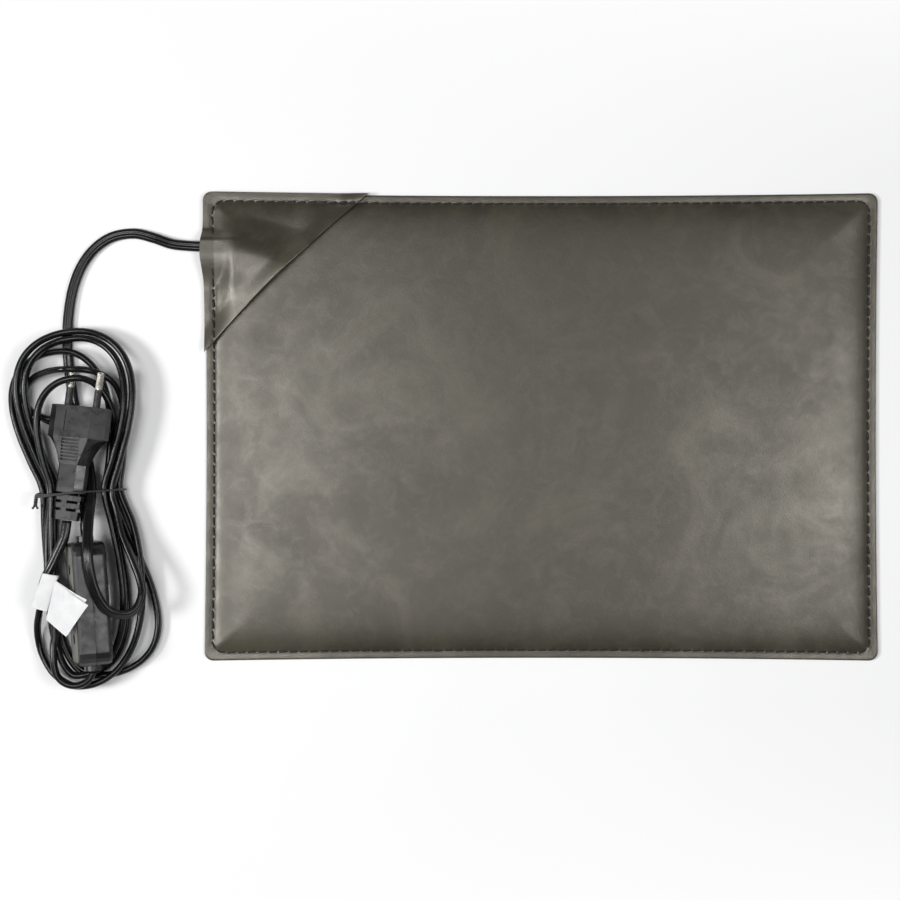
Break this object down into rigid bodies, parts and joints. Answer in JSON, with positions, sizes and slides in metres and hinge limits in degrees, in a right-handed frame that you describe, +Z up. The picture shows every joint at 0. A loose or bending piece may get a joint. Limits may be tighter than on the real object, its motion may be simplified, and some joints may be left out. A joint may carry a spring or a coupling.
{
  "type": "heated mouse pad",
  "caption": "Flat padded leather mouse mat with a film heater inside, a corner patch over its wiring, and a bundled flat mains cord with an inline rocker switch and a two-pin plug",
  "frame": {"origin": "middle of the mat's underside", "axes": "+X to the right along the mat's long side, +Y away from the user, +Z up"},
  "size_m": [0.4617, 0.2719, 0.0357],
  "materials": {
    "lining": "matte woven-backed synthetic leather",
    "cover_leather": "fine-grained olive-grey synthetic leather with cloudy pull-up patches",
    "felt": "needle felt",
    "heater_film": "clear polyester film",
    "carbon": "printed carbon ink",
    "copper": "rolled copper foil",
    "tinned_metal": "tinned",
    "white_sleeve": "fibre and silicone sleeving",
    "red_sleeve": "silicone sleeving",
    "cord_vinyl": "smooth black flexible vinyl",
    "black_plastic": "satin moulded vinyl",
    "switch_plastic": "satin moulded housing",
    "rocker_plastic": "polished moulded rocker",
    "pin_nickel": "nickel-plated",
    "steel": "zinc-plated",
    "tie_vinyl": "vinyl-coated wire",
    "label_paper": "bare white label"
  },
  "bodies": {
    "mat": {"bottom_cover": "lining", "top_cover": "cover_leather", "insulation_felt": "felt", "heater_film_lower": "heater_film", "carbon_grid": "carbon", "busbar_live": "copper", "busbar_neutral": "copper", "heater_film_upper": "heater_film", "terminal_clip_live": "tinned_metal", "terminal_clip_neutral": "tinned_metal", "terminal_pad_live": "white_sleeve", "terminal_pad_neutral": "white_sleeve", "cord_held_end": "cord_vinyl", "lead_neutral": "white_sleeve", "lead_live_to_fuse": "red_sleeve", "lead_live_to_clip": "red_sleeve", "thermal_fuse": "tinned_metal", "corner_patch": "cover_leather", "plug_body": "black_plastic", "plug_pin_left": "pin_nickel", "pin_sleeve_left": "black_plastic", "plug_pin_right": "pin_nickel", "pin_sleeve_right": "black_plastic", "switch_base": "switch_plastic", "switch_cover": "switch_plastic", "switch_pivot_pin": "steel", "switch_screw_1": "steel", "switch_screw_2": "steel", "contact_from_plug": "tinned_metal", "contact_to_mat": "tinned_metal", "neutral_link": "tinned_metal", "cord_mat_to_switch": "cord_vinyl", "cord_hank": "cord_vinyl", "wire_tie": "tie_vinyl", "cord_label_1": "label_paper", "cord_label_2": "label_paper"},
    "rocker": {"switch_rocker": "rocker_plastic"}
  },
  "joints": [
    {"name": "switch_rocker_tilt", "type": "hinge", "parent": "mat", "child": "rocker", "pos_m": [-0.233, -0.09258, 0.01351], "axis": [0.3419, 0.0239, 0.9394], "range_deg": [0, 14]}
  ]
}
